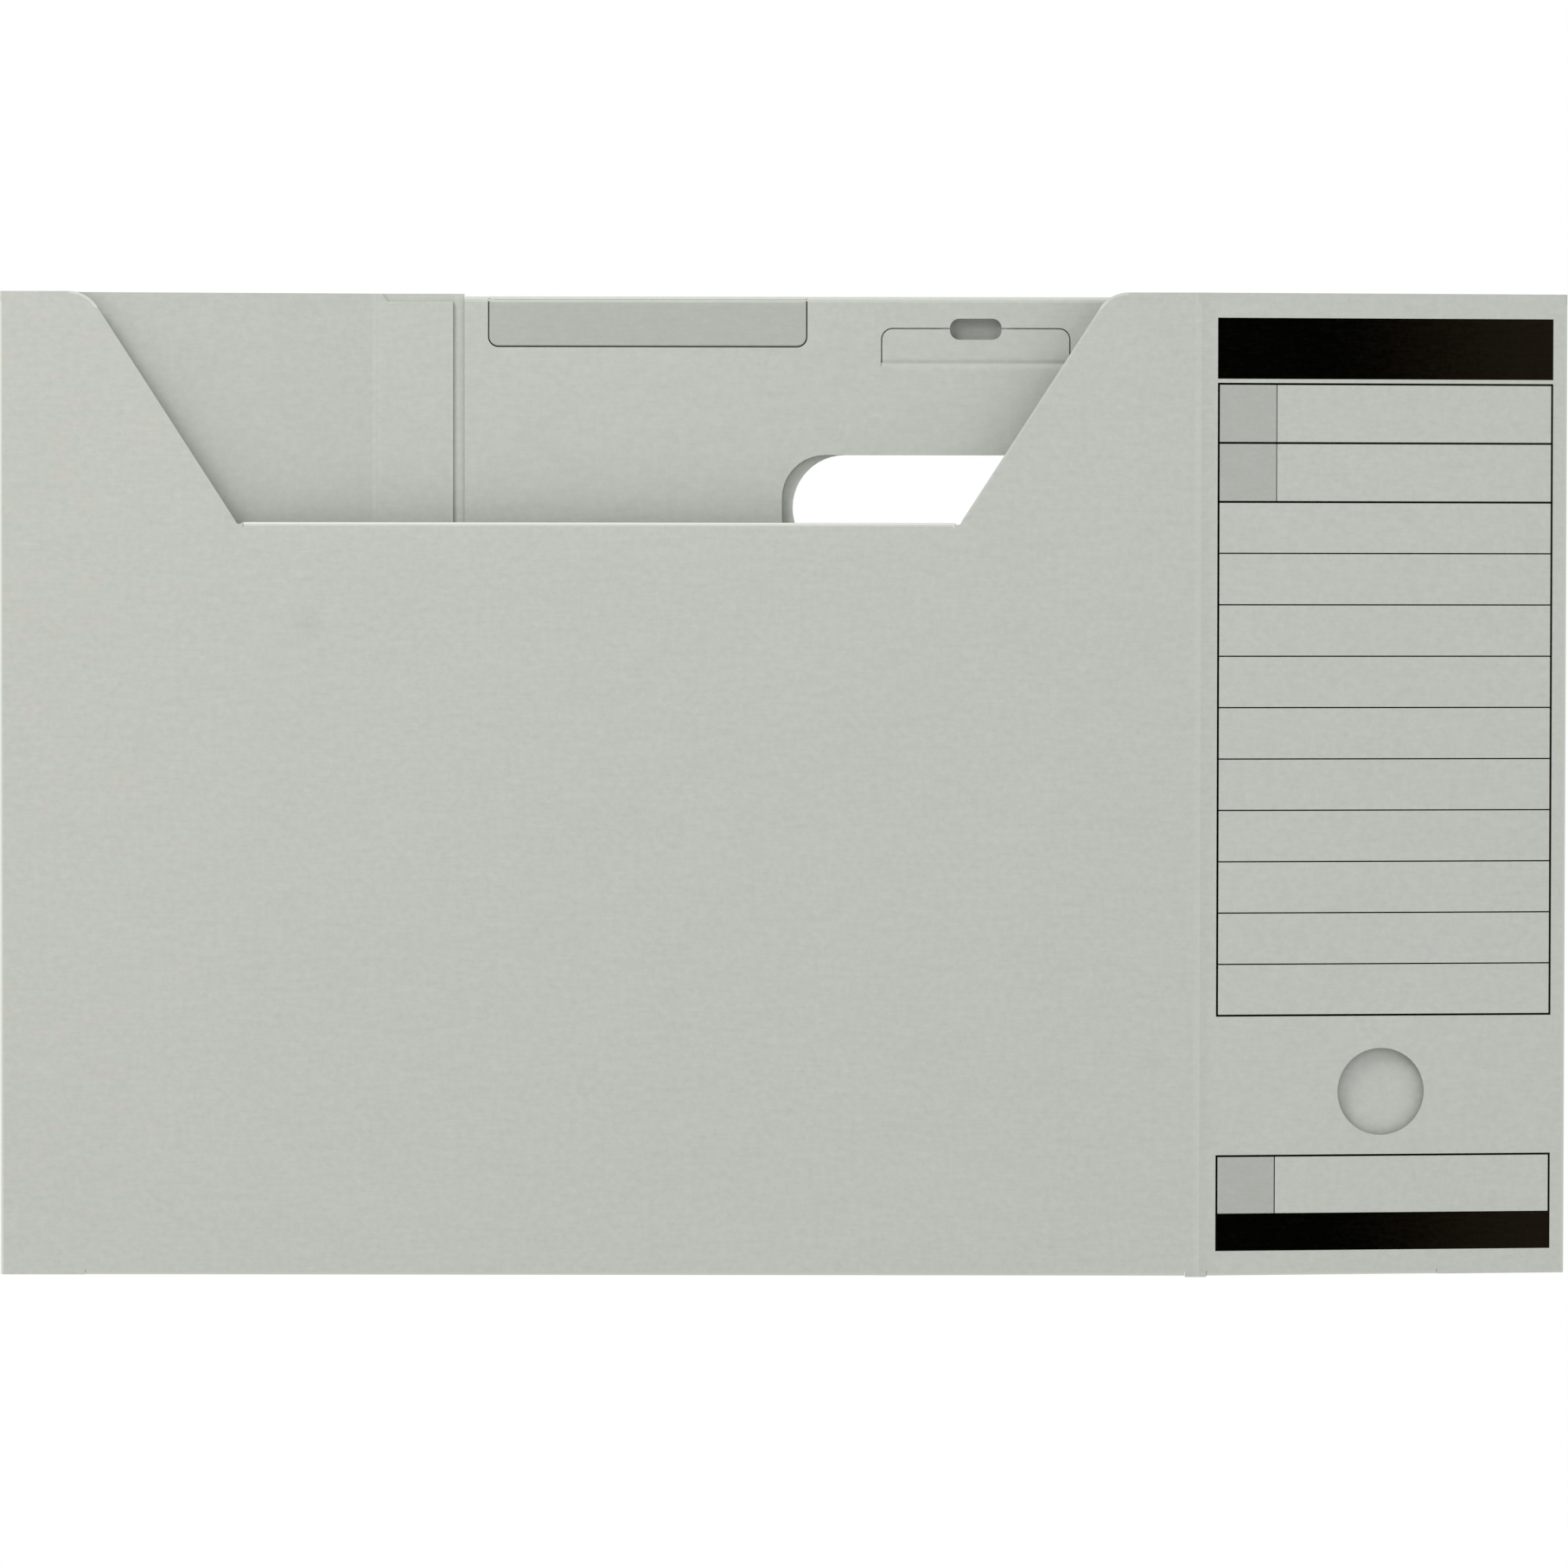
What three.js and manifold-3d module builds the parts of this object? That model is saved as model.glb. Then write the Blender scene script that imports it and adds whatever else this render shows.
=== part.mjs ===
// Document file box of grey board, folded flat for storage.
// One die-cut sheet makes the whole box: glue lap, left side, front, spine and back in one row,
// with a lid on the back, a hem on the front's cut-away and a closing flap below each panel.
// Millimetres. The back panel lies on Z = 0, +X runs to the spine and +Y to the top edge.

import * as THREE from "three";
import { mergeVertices } from "three/addons/utils/BufferGeometryUtils.js";
import Module from "manifold-3d";

// Board
const board = 0.8; // thickness of the sheet
const loose = 0.3; // space between two layers that lie loose on each other
const standOff = 12; // clear space that the springing folds leave between front and back panel

// Panels
const panelWidth = 321; // front panel, from the left fold to the spine crease
const boxDepth = 100; // width of the spine and of the left side
const boxHeight = 264; // front panel, from the bottom fold to the top edge
const backDrop = 0.15; // how far the top of the side and back lies below the front's

// Crease that stays flat: a low bead pressed into the board
const creaseWidth = 1.6;
const creaseRise = 0.1;

// Glue lap of the left side, stuck on the back panel
const lapWidth = 21;
const lapDrop = 2.3; // top edge of the lap below the front's top edge
const lapBevel = 1.6; // length of the bevel that starts the lap's top edge
const backSetBack = 1.6; // raw edge of the back panel, measured from the lap's crease

// Access cut-away in the front panel and the hem that is turned in along its rim
const cutTopWidth = 273.7;
const cutRimWidth = 194;
const cutDepth = 61.7;
const shoulderRadius = 9;
const hemDepth = 58;
const reliefRadius = 1; // small round notch at each end of the hem's fold
const reliefDepth = 0.5; // how far the notch reaches below the rim
const reliefReach = 0.9; // from the notch's centre to the sloping side

// Lid, hinged on the back panel's top edge and turned down inside
const lidWidth = 275;
const lidLength = 130;
const lidFoldDrop = 0.9; // outside of the lid's fold below the front's top edge
const lidSpring = 1.4; // how far the stiff lid stands off the back panel at its fold
const lidAxisFromFold = 159.3; // middle of the lid, measured from the right fold
const lidCorner = 12;

// Locking tab, cut free in the lid on three sides, with a hole across its free edge
const tabWidth = 50.3;
const tabHeight = 9;
const tabTopDrop = 8.65; // free edge of the tab below the lid's fold
const tabCorner = 2.8;
const slitWidth = 0.35;
const tabHoleWidth = 13.9;
const tabHoleHeight = 5.7;

// Hand hole, which goes through the lid and the back panel
const handTopDrop = 43.4; // top of the hole below the front's top edge
const handHeight = 28.3;
const handWidthBack = 98.4;
const handWidthLid = 104.2;
const handCornerLid = 11.6;

// Finger hole in the spine
const fingerDiameter = 23.5;
const fingerHeight = 49.6; // its centre above the bottom fold

// Closing flaps of the bottom, turned up inside
const mainFlapDepth = 67; // below the front and the back
const mainFlapTaper = 10; // what the bevel takes off each end at the free edge
const sideFlapDepth = 67; // below the spine and the left side
const sideFlapTaper = 14;
const spineFlapTaper = 4;
const spineFlapHang = 1.5; // how far the free edge of the spine's flap hangs down off the spine
const flapRelief = 3; // from the end of a fold to the crease beside it
const flapFoldRise = 0.3; // outside of the flaps' folds above the sheet's bottom edge
const foldSlit = 0.15; // slit that frees each end of a fold from the panel beside it
const flapMargin = 2; // extra room where a flap ends in the wedge beside a fold

// Fineness of the round stretches
const foldSteps = 6; // segments in the half turn of a fold
const roundSteps = 6; // half the segments in each arc of an outline

const greyBoard = new THREE.MeshStandardMaterial({ color: 0xbdc0b9, roughness: 0.85, metalness: 0 });

// Places that follow from the dimensions
const bend = board + loose / 2; // outer radius of a fold that is pressed flat
const bendMiddle = (board + loose) / 2; // radius of the board's middle in such a fold
const layer = board + loose; // height that one loose layer takes
const rightFold = (panelWidth + boxDepth) / 2;
const leftFold = -rightFold;
const lapCrease = leftFold + boxDepth;
const lapEdge = lapCrease + lapWidth;
const spineCrease = rightFold - boxDepth;
const top = boxHeight / 2;
const bottom = -top;
const rim = top - cutDepth;
const backTop = top - backDrop;
const flapFold = bottom + flapFoldRise;
const lidFold = top - lidFoldDrop;
const frontMiddle = (leftFold + spineCrease) / 2;
const cutSlope = Math.atan2((cutTopWidth - cutRimWidth) / 2, cutDepth); // lean of the cut-away's sides
const reliefRise = reliefRadius - reliefDepth; // height of the notch's centre above the rim
const reliefInset = (reliefReach - reliefRise * Math.sin(cutSlope)) / Math.cos(cutSlope);
const lidAxis = rightFold - lidAxisFromFold;
const handMiddle = top - handTopDrop - handHeight / 2;
const backLevel = board / 2; // height of the middle of the back panel's board
const lapLevel = backLevel + board;
const frontLevel = backLevel + board + standOff;
const beyond = 5; // how far a cutting body reaches past what it cuts

const wasm = await Module();
wasm.setup();

// A closed geometry, put in its place, as a solid that can be joined and cut
function solid(geometry, place = new THREE.Matrix4()) {
  geometry.applyMatrix4(place);
  geometry.deleteAttribute("normal");
  geometry.deleteAttribute("uv");
  const merged = mergeVertices(geometry, 1e-4);
  const vertProperties = new Float32Array(merged.attributes.position.array);
  const corners = merged.index.array;
  const kept = [];
  for (let i = 0; i < corners.length; i += 3) {
    const [a, b, c] = corners.slice(i, i + 3);
    if (a !== b && b !== c && c !== a) kept.push(a, b, c);
  }
  return new wasm.Manifold(new wasm.Mesh({ numProp: 3, vertProperties, triVerts: new Uint32Array(kept) }));
}

// An outline in X and Y, thick from one height to another
function plate(shape, low, high, place) {
  const options = { depth: high - low, bevelEnabled: false, curveSegments: roundSteps };
  return solid(new THREE.ExtrudeGeometry(shape, options).translate(0, 0, low), place);
}

// A section in X and Z, carried along Y
function alongY(shape, from, to) {
  const geometry = new THREE.ExtrudeGeometry(shape, { depth: to - from, bevelEnabled: false });
  return solid(geometry.rotateX(Math.PI / 2).translate(0, to, 0));
}

// A section in Y and Z, carried along X
function alongX(shape, from, to, place) {
  const axes = [new THREE.Vector3(0, 1, 0), new THREE.Vector3(0, 0, 1), new THREE.Vector3(1, 0, 0)];
  const geometry = new THREE.ExtrudeGeometry(shape, { depth: to - from, bevelEnabled: false });
  geometry.applyMatrix4(new THREE.Matrix4().makeBasis(...axes)).translate(from, 0, 0);
  return solid(geometry, place);
}

function rectangle(left, right, low, high) {
  const corners = [[left, low], [right, low], [right, high], [left, high]];
  return new THREE.Shape(corners.map(([x, y]) => new THREE.Vector2(x, y)));
}

// A rectangle with round corners, about its middle
function roundedRectangle(x, y, width, height, radius) {
  const [right, high] = [x + width / 2 - radius, y + height / 2 - radius];
  const [left, low] = [x - width / 2 + radius, y - height / 2 + radius];
  const shape = new THREE.Shape();
  shape.absarc(right, low, radius, -Math.PI / 2, 0);
  shape.absarc(right, high, radius, 0, Math.PI / 2);
  shape.absarc(left, high, radius, Math.PI / 2, Math.PI);
  shape.absarc(left, low, radius, Math.PI, 1.5 * Math.PI);
  return shape;
}

function disc(x, y, radius) {
  return roundedRectangle(x, y, 2 * radius, 2 * radius, radius);
}

// The outline of a board in section, whose middle runs through the given points
function boardSection(points) {
  const last = points.length - 1;
  const steps = points.slice(1).map((point, i) => point.clone().sub(points[i]).normalize());
  const edge = (sign) => points.map((point, i) => {
    const into = steps[Math.max(i - 1, 0)];
    const out = steps[Math.min(i, last - 1)];
    const across = new THREE.Vector2(-into.y - out.y, into.x + out.x).normalize();
    const mitre = 1 / (into.x * across.y - into.y * across.x);
    return point.clone().addScaledVector(across, sign * mitre * board / 2);
  });
  return new THREE.Shape([...edge(1), ...edge(-1).reverse()]);
}

// Points of a fold's arc about its centre, from one angle to another
function foldArc(x, y, from, to) {
  return Array.from({ length: foldSteps + 1 }, (_, i) => {
    const angle = from + (to - from) * i / foldSteps;
    return new THREE.Vector2(x + bendMiddle * Math.cos(angle), y + bendMiddle * Math.sin(angle));
  });
}

// Slope of a panel that runs from a crease and touches the fold at its other end
function rake(rise) {
  const run = boxDepth - bend;
  return Math.atan2(rise, run) - Math.asin(bendMiddle / Math.hypot(run, rise));
}

const sideRake = rake(frontLevel - bendMiddle - lapLevel);
const spineRake = rake(frontLevel - bendMiddle - backLevel);

// Where a panel's slope leaves room for something of a given height, measured from its fold
function roomFor(height, slope) {
  return bend + height / Math.tan(slope) + flapMargin;
}

// The sleeve: front panel level above the back panel, the side and the spine sloping between them
function sleeve() {
  const half = Math.PI / 2;
  const leftTurn = foldArc(leftFold + bend, frontLevel - bendMiddle, -half - sideRake, -3 * half);
  const rightTurn = foldArc(rightFold - bend, backLevel + bendMiddle, half - spineRake, -half);
  const bead = creaseWidth / 2;
  const midSpine = new THREE.Vector2(spineCrease, frontLevel).lerp(rightTurn[0], 0.5);
  const overFront = boardSection([
    new THREE.Vector2(lapEdge, lapLevel),
    new THREE.Vector2(lapCrease + bead, lapLevel),
    new THREE.Vector2(lapCrease, lapLevel + creaseRise),
    new THREE.Vector2(lapCrease - bead, lapLevel + bead * Math.tan(sideRake)),
    ...leftTurn,
    new THREE.Vector2(spineCrease - bead, frontLevel),
    new THREE.Vector2(spineCrease, frontLevel + creaseRise),
    new THREE.Vector2(spineCrease + bead, frontLevel - bead * Math.tan(spineRake)),
    midSpine,
  ]);
  const underBack = boardSection([
    midSpine,
    ...rightTurn,
    new THREE.Vector2(lapCrease + backSetBack, backLevel),
  ]);
  return alongY(overFront, bottom, top).add(alongY(underBack, bottom, top));
}

// Frames of the four panels: X from the crease or the middle, height 0 in the middle of the board
const backPlace = new THREE.Matrix4().makeTranslation(0, 0, backLevel);
const frontPlace = new THREE.Matrix4().makeTranslation(0, 0, frontLevel);
const sidePlace = new THREE.Matrix4().makeTranslation(lapCrease, 0, lapLevel)
  .multiply(new THREE.Matrix4().makeRotationY(sideRake));
const spinePlace = new THREE.Matrix4().makeTranslation(spineCrease, 0, frontLevel)
  .multiply(new THREE.Matrix4().makeRotationY(spineRake));

// Outline of a flap from its fold to its free edge, each end bevelled by taper
function flapOutline({ from, to, edge, towards, depth, taper, spring = loose, corner = 0 }) {
  const start = edge + towards * (2 * board + spring / 2);
  const free = edge + towards * depth;
  const shape = new THREE.Shape();
  shape.moveTo(from, edge - towards * beyond);
  shape.lineTo(to, edge - towards * beyond);
  shape.lineTo(to, start);
  shape.lineTo(to - taper, free - towards * corner);
  if (corner > 0) shape.quadraticCurveTo(to - taper, free, to - taper - corner, free);
  shape.lineTo(from + taper + corner, free);
  if (corner > 0) shape.quadraticCurveTo(from + taper, free, from + taper, free - towards * corner);
  shape.lineTo(from, start);
  return shape;
}

// A flap folded back against its own panel, which lies in the frame given by place.
// The fold runs along X with its outside at edge, and the flap goes from there towards +Y or -Y,
// above the panel where side is 1 and below it where side is -1. It stands off the panel by
// spring at the fold, and by the loose space and what it hangs at its free edge.
function foldedFlap(flap) {
  const { place, from, to, edge, towards, side, depth, taper, spring = loose, hang = 0 } = flap;
  const start = edge + towards * (board + spring / 2);
  const radius = (board + spring) / 2;
  const turn = Array.from({ length: foldSteps + 1 }, (_, i) => {
    const angle = Math.PI * i / foldSteps;
    const out = radius * Math.sin(angle);
    return new THREE.Vector2(start - towards * out, side * radius * (1 - Math.cos(angle)));
  });
  const root = new THREE.Vector2(start + towards * board, 0);
  const free = new THREE.Vector2(edge + towards * depth, side * (layer + hang));
  const pastFree = turn[foldSteps].clone().lerp(free, 1 + beyond / depth);
  const flare = Math.max(0, -taper) + beyond;
  const strip = alongX(boardSection([root, ...turn, pastFree]), from - flare, to + flare, place);
  return strip.intersect(plate(flapOutline(flap), -beyond, beyond, place));
}

// What a panel loses where a fold takes the place of its edge
function foldNotch({ place, from, to, edge, towards, spring = loose }) {
  const inner = edge + towards * (1.5 * board + spring / 2);
  const ends = [inner, edge - towards * beyond].sort((a, b) => a - b);
  const half = board / 2 + loose / 3;
  return plate(rectangle(from - foldSlit, to + foldSlit, ...ends), -half, half, place);
}

// The access cut-away: a trapezoid open at the top, whose upper corners flare in round shoulders
function cutAway() {
  const half = cutTopWidth / 2 + shoulderRadius * Math.tan((Math.PI / 2 - cutSlope) / 2);
  const [left, right] = [frontMiddle - half, frontMiddle + half];
  const shape = new THREE.Shape();
  shape.moveTo(frontMiddle - cutRimWidth / 2, rim);
  shape.lineTo(frontMiddle + cutRimWidth / 2, rim);
  shape.absarc(right, top - shoulderRadius, shoulderRadius, Math.PI - cutSlope, Math.PI / 2, true);
  shape.lineTo(right, top + beyond);
  shape.lineTo(left, top + beyond);
  shape.absarc(left, top - shoulderRadius, shoulderRadius, Math.PI / 2, cutSlope, true);
  const low = frontLevel - board / 2 - loose;
  const opening = plate(shape, low, frontLevel + beyond);
  const notches = [-1, 1].map((sign) => {
    const x = frontMiddle + sign * (cutRimWidth / 2 - reliefInset);
    const notch = disc(x, rim + reliefRise, reliefRadius);
    return plate(notch, low, frontLevel + beyond);
  });
  return notches.reduce((sum, notch) => sum.add(notch), opening);
}

// What all panels lose at the bottom, where the flaps' folds draw the edge in, but at the spine crease
function bottomStep() {
  const ends = [bottom - beyond, flapFold];
  const [low, high] = [-beyond, frontLevel + beyond];
  return plate(rectangle(leftFold - beyond, spineCrease - flapRelief, ...ends), low, high)
    .add(plate(rectangle(spineCrease + flapRelief, rightFold + beyond, ...ends), low, high));
}

// What the side and the back lose at the top, where they stand lower than the front
function topStep() {
  const underFront = frontLevel - board / 2 - loose;
  const overLap = lapLevel + board / 2 + loose / 2;
  const leftEnd = leftFold + roomFor(layer, sideRake);
  const rightEnd = rightFold - roomFor(layer, spineRake);
  const lapStart = lapCrease + backSetBack + loose;
  const lapTop = new THREE.Shape();
  lapTop.moveTo(lapStart, backTop);
  lapTop.lineTo(lapStart + lapBevel, top - lapDrop);
  lapTop.lineTo(lapEdge + loose, top - lapDrop);
  lapTop.lineTo(lapEdge + loose, top + beyond);
  lapTop.lineTo(lapStart, top + beyond);
  return plate(rectangle(leftEnd, lapCrease + loose, backTop, top + beyond), -beyond, underFront)
    .add(plate(rectangle(lapCrease, rightEnd, backTop, top + beyond), -beyond, overLap))
    .add(plate(lapTop, board, underFront));
}

// Lid, with its tab, the hole across the tab's edge and its share of the hand hole.
// It ends before the spine comes down too low for it.
const lidRoom = rightFold - roomFor(layer + lidSpring, spineRake);
const lid = {
  place: backPlace, from: lidAxis - lidWidth / 2, to: Math.min(lidAxis + lidWidth / 2, lidRoom),
  edge: lidFold, towards: -1, side: 1, depth: lidLength, taper: 0, spring: lidSpring,
  corner: lidCorner,
};

function lidHoles() {
  const [low, high] = [board + loose / 2, board + lidSpring + board + loose];
  const tabTop = lidFold - tabTopDrop;
  const tabMiddle = tabTop - tabHeight;
  const slitOuter = roundedRectangle(lidAxis, tabMiddle, tabWidth + 2 * slitWidth,
    2 * (tabHeight + slitWidth), tabCorner + slitWidth);
  const slitInner = roundedRectangle(lidAxis, tabMiddle, tabWidth, 2 * tabHeight, tabCorner);
  const aboveHinge = rectangle(lidAxis - tabWidth, lidAxis + tabWidth, tabMiddle, tabTop + beyond);
  const hole = roundedRectangle(lidAxis, tabTop, tabHoleWidth, tabHoleHeight, tabHoleHeight / 2.2);
  const hand = roundedRectangle(lidAxis, handMiddle, handWidthLid, handHeight, handCornerLid);
  return plate(slitOuter, low, high).subtract(plate(slitInner, low, high))
    .intersect(plate(aboveHinge, low, high))
    .add(plate(hole, low, high))
    .add(plate(hand, low, high));
}

// The other flaps
const hemHalf = cutRimWidth / 2 - reliefInset - reliefRadius - foldSlit;
const hem = {
  place: frontPlace, from: frontMiddle - hemHalf, to: frontMiddle + hemHalf,
  edge: rim, towards: -1, side: -1, depth: hemDepth, taper: -(hemDepth - bend) * Math.tan(cutSlope),
};
const frontFlap = {
  place: frontPlace, from: leftFold + roomFor(2 * layer, sideRake), to: spineCrease - flapRelief,
  edge: flapFold, towards: 1, side: -1, depth: mainFlapDepth, taper: mainFlapTaper,
};
const backFlap = {
  place: backPlace, from: lapEdge + flapRelief, to: rightFold - roomFor(layer, spineRake),
  edge: flapFold, towards: 1, side: 1, depth: mainFlapDepth, taper: mainFlapTaper,
};
const spineFlap = {
  place: spinePlace, from: flapRelief, to: boxDepth - roomFor(2 * layer + spineFlapHang, spineRake),
  edge: flapFold, towards: 1, side: -1, depth: sideFlapDepth, taper: spineFlapTaper,
  hang: spineFlapHang,
};
const sideFlap = {
  place: sidePlace, from: roomFor(layer, sideRake) - boxDepth, to: -flapRelief,
  edge: flapFold, towards: 1, side: 1, depth: sideFlapDepth, taper: sideFlapTaper,
};

// The whole sheet
function fileBox() {
  const handHole = roundedRectangle(lidAxis, handMiddle, handWidthBack, handHeight, handHeight / 2);
  const fingerPlace = [(spineCrease + rightFold) / 2, bottom + fingerHeight];
  const fingerHole = disc(...fingerPlace, fingerDiameter / 2);
  const spineUnder = frontLevel - (boxDepth + fingerDiameter) / 2 * Math.tan(spineRake) - board;
  let body = sleeve()
    .subtract(topStep())
    .subtract(bottomStep())
    .subtract(cutAway())
    .subtract(plate(handHole, -beyond, board + loose / 2))
    .subtract(plate(fingerHole, spineUnder, frontLevel + beyond));
  const flaps = [hem, frontFlap, backFlap, spineFlap, sideFlap];
  for (const flap of [lid, ...flaps]) body = body.subtract(foldNotch(flap));
  for (const flap of flaps) body = body.add(foldedFlap(flap));
  return body.add(foldedFlap(lid).subtract(lidHoles()));
}

// A solid as a named part
function mesh(name, body, material) {
  const { vertProperties, triVerts, numProp } = body.getMesh();
  const geometry = new THREE.BufferGeometry();
  const positions = new THREE.InterleavedBuffer(new Float32Array(vertProperties), numProp);
  geometry.setAttribute("position", new THREE.InterleavedBufferAttribute(positions, 3, 0));
  geometry.setIndex(new THREE.BufferAttribute(new Uint32Array(triVerts), 1));
  const flat = geometry.toNonIndexed();
  flat.computeVertexNormals();
  const part = new THREE.Mesh(flat, material);
  part.name = name;
  return part;
}

// The origin is the middle of the outside, on the face that the box lies on
const group = new THREE.Group();
group.add(mesh("file_box", fileBox(), greyBoard));
export default group;
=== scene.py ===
"""The looks of a grey board file box that lies folded flat: board, creases, print, floor and light."""

import bpy
import numpy as np
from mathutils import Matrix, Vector
from mathutils.bvhtree import BVHTree


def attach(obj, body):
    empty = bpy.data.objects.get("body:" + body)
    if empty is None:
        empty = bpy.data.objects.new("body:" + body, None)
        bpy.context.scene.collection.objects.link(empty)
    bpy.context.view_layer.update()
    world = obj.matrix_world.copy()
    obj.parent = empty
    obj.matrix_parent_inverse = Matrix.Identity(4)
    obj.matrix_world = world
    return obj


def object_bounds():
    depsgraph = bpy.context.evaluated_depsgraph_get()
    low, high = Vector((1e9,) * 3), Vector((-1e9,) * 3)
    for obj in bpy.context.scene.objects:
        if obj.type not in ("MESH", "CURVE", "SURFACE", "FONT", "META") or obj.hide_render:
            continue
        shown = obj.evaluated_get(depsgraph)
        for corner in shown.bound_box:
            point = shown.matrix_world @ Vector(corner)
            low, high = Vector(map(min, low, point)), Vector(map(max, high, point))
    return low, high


bl_info = {
    "name": "Folded File Box",
    "version": (1, 0, 0),
    "blender": (4, 5, 0),
    "location": "3D View > Sidebar > File Box",
    "description": "Board finish, printed label and photo stage for a file box that is folded flat",
    "category": "Object",
}

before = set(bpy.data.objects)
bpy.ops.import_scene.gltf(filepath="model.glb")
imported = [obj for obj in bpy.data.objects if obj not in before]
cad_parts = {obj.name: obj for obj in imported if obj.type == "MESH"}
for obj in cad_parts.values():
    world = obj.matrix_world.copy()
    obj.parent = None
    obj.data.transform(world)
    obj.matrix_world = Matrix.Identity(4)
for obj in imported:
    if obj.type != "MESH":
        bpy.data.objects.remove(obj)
CAD_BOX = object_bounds()
MM = 0.001

# The folded sheet as the CAD model settles it, in millimetres
BOARD = 0.8
LOOSE = 0.3
CREASE_RISE = 0.1
LEFT_FOLD = CAD_BOX[0][0] / MM
RIGHT_FOLD = CAD_BOX[1][0] / MM
BOTTOM = CAD_BOX[0][1] / MM
TOP = CAD_BOX[1][1] / MM
TOP_FACE = CAD_BOX[1][2] / MM - CREASE_RISE
FRONT_UNDER = TOP_FACE - BOARD - LOOSE

# Spine, which falls by SPINE_FALL a millimetre towards the right fold, and finger hole
SPINE_WIDTH = 100.0
SPINE_CREASE = RIGHT_FOLD - SPINE_WIDTH
SPINE_FALL = 0.123
FINGER_X = (SPINE_CREASE + RIGHT_FOLD) / 2
FINGER_Y = BOTTOM + 49.6

# Cut-away in the front, whose sides lean by CUT_LEAN a millimetre
CUT_DEPTH = 61.7
CUT_TOP_HALF = 136.85
SHOULDER = 9.0
RIM = TOP - CUT_DEPTH
RIM_HALF = 97.0
CUT_LEAN = (CUT_TOP_HALF - RIM_HALF) / CUT_DEPTH
FRONT_MIDDLE = (LEFT_FOLD + SPINE_CREASE) / 2

# Lid, which falls by LID_FALL a millimetre from its fold, and its tab
LID_FOLD = TOP - 0.9
LID_SPRING = 1.4
LID_LENGTH = 130.0
LID_AXIS = RIGHT_FOLD - 159.3
LID_UNDER = 1.5
LID_TOP = 2 * BOARD + LID_SPRING
FOLD_RADIUS = BOARD + LID_SPRING / 2
LID_FALL = (LID_SPRING - LOOSE) / (LID_LENGTH - FOLD_RADIUS)
FOLD_START = LID_FOLD - FOLD_RADIUS
TAB_HALF = 25.15
TAB_HEIGHT = 9.0
TAB_TOP = LID_FOLD - 8.65
TAB_CREASE = TAB_TOP - TAB_HEIGHT

# Glue lap
LAP_WIDTH = 21.0
LAP_FOLD = LEFT_FOLD + SPINE_WIDTH
LAP_EDGE = LAP_FOLD + LAP_WIDTH
LAP_TOP = TOP - 2.3

# How fine the board's fibres and blots are: noise cells in a metre along X, Y and Z
FIBRE_CELLS = (170.0, 1300.0, 1300.0)
BLOT_CELLS = (60.0, 190.0, 190.0)
BLEND_CELLS = 210.0
GRAIN_CELLS = 520.0
CLOUD_CELLS = 24.0
WAVE_CELLS = 22.0
INK_GRAIN_CELLS = 900.0

# Height of the board's wave in millimetres, and how far aside the tinge's noise is taken in metres
WAVE_HEIGHT = 0.25
TINGE_OFFSET = (3.1, 1.7, 0.4)

# How much each noise counts in the board's mottling, and how much painted light makes the spine paler, to
# make up for the key lamp on its left
CLOUD_SHARE = 0.3
BLOT_SHARE = 0.4
STREAK_SHARE = 1.2
GRAIN_SHARE = 2.0
SPINE_PAINTED_LIGHT = 0.4

# Pink flecks: the noise at which they start and are full, their reach in millimetres, their tint
FLECK_NOISE = (0.06, 0.16)
FLECK_REACH = 90.5
FLECK_RED = 0.045
FLECK_GREEN = -0.012

# Faces that lean or stand upright, which take the folds' painted highlight, and cut faces: low and high
# end of their up share, then strength
LEANING = (0.97, 0.985, 0.35)
UPRIGHT = (0.75, 0.9, 0.65)
CUT_FACE = (0.05, 0.15, 0.7)

# Share of the folds' painted highlight that the lid's fold does without
LID_FOLD_LOSS = 0.7

# Strips of painted highlight, and of painted light in the lap's channel: distance from the edge or fold,
# half width, soft width in millimetres, strength
SLOPE_STRIP = (0.35, 0.15, 0.45, 0.2)
LAP_STRIP = (-0.2, 0.15, 0.15, 1.0)
FOLD_LINE = (0.1, 0.2, 0.35, 0.8)
FOLD_SIDE = (0.9, 0.4, 0.6, 0.35)
CHANNEL_LIGHT = (1.6, 0.9, 0.6, 1.7)

# How much stronger the painted highlight is on the right slope, which faces the key lamp, then the
# painted highlight along the shoulders: depths and strength
SLOPE_RIGHT_GAIN = 7.0
SHOULDER_DEPTHS = (0.8, 0.5)
SHOULDER_STRENGTH = 4.0

# Painted shade round the two small holes, and painted light in the slit round the tab, in millimetres
TAB_HOLE_HALF = 7.5
TAB_SHADE = (5.5, 2.5)
TAB_SHADE_HIGH = (1.8, 2.2)
FINGER_SHADE = (6.5, 12.5, 14.0)
FINGER_SHIFT = 0.8
FINGER_SHARE = 0.32
SLIT_HALF = 0.4
SLIT_SOFT = 0.1

# Bow below the rim and groove of the tab's crease, in millimetres
BOW_REACH = 4.0
GROOVE_REACH = 0.8
GROOVE_SHIFT = 0.3

# Rub marks on the front: middle x, middle y and radius in millimetres, then depth
RUBS = (
    (-128.0, 43.1, 5.5, 0.4),
    (-91.7, -26.0, 4.5, 0.15),
    (98.0, -74.3, 5.0, 0.2),
    (-30.3, -57.0, 4.5, 0.15),
)

# Key lamp and middle of the picture, in metres, and how much wider than the box the picture is
KEY_SIZE = 0.6
KEY_PLACE = (-0.92, 1.12, 0.75)
PICTURE_MIDDLE = (-0.0003, 0.0001, 0.006)
PICTURE_MARGIN = 1.002

# Width of the camera's sensor, in millimetres
SENSOR = 36.0


# Sizes and colours that a user would change

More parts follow.
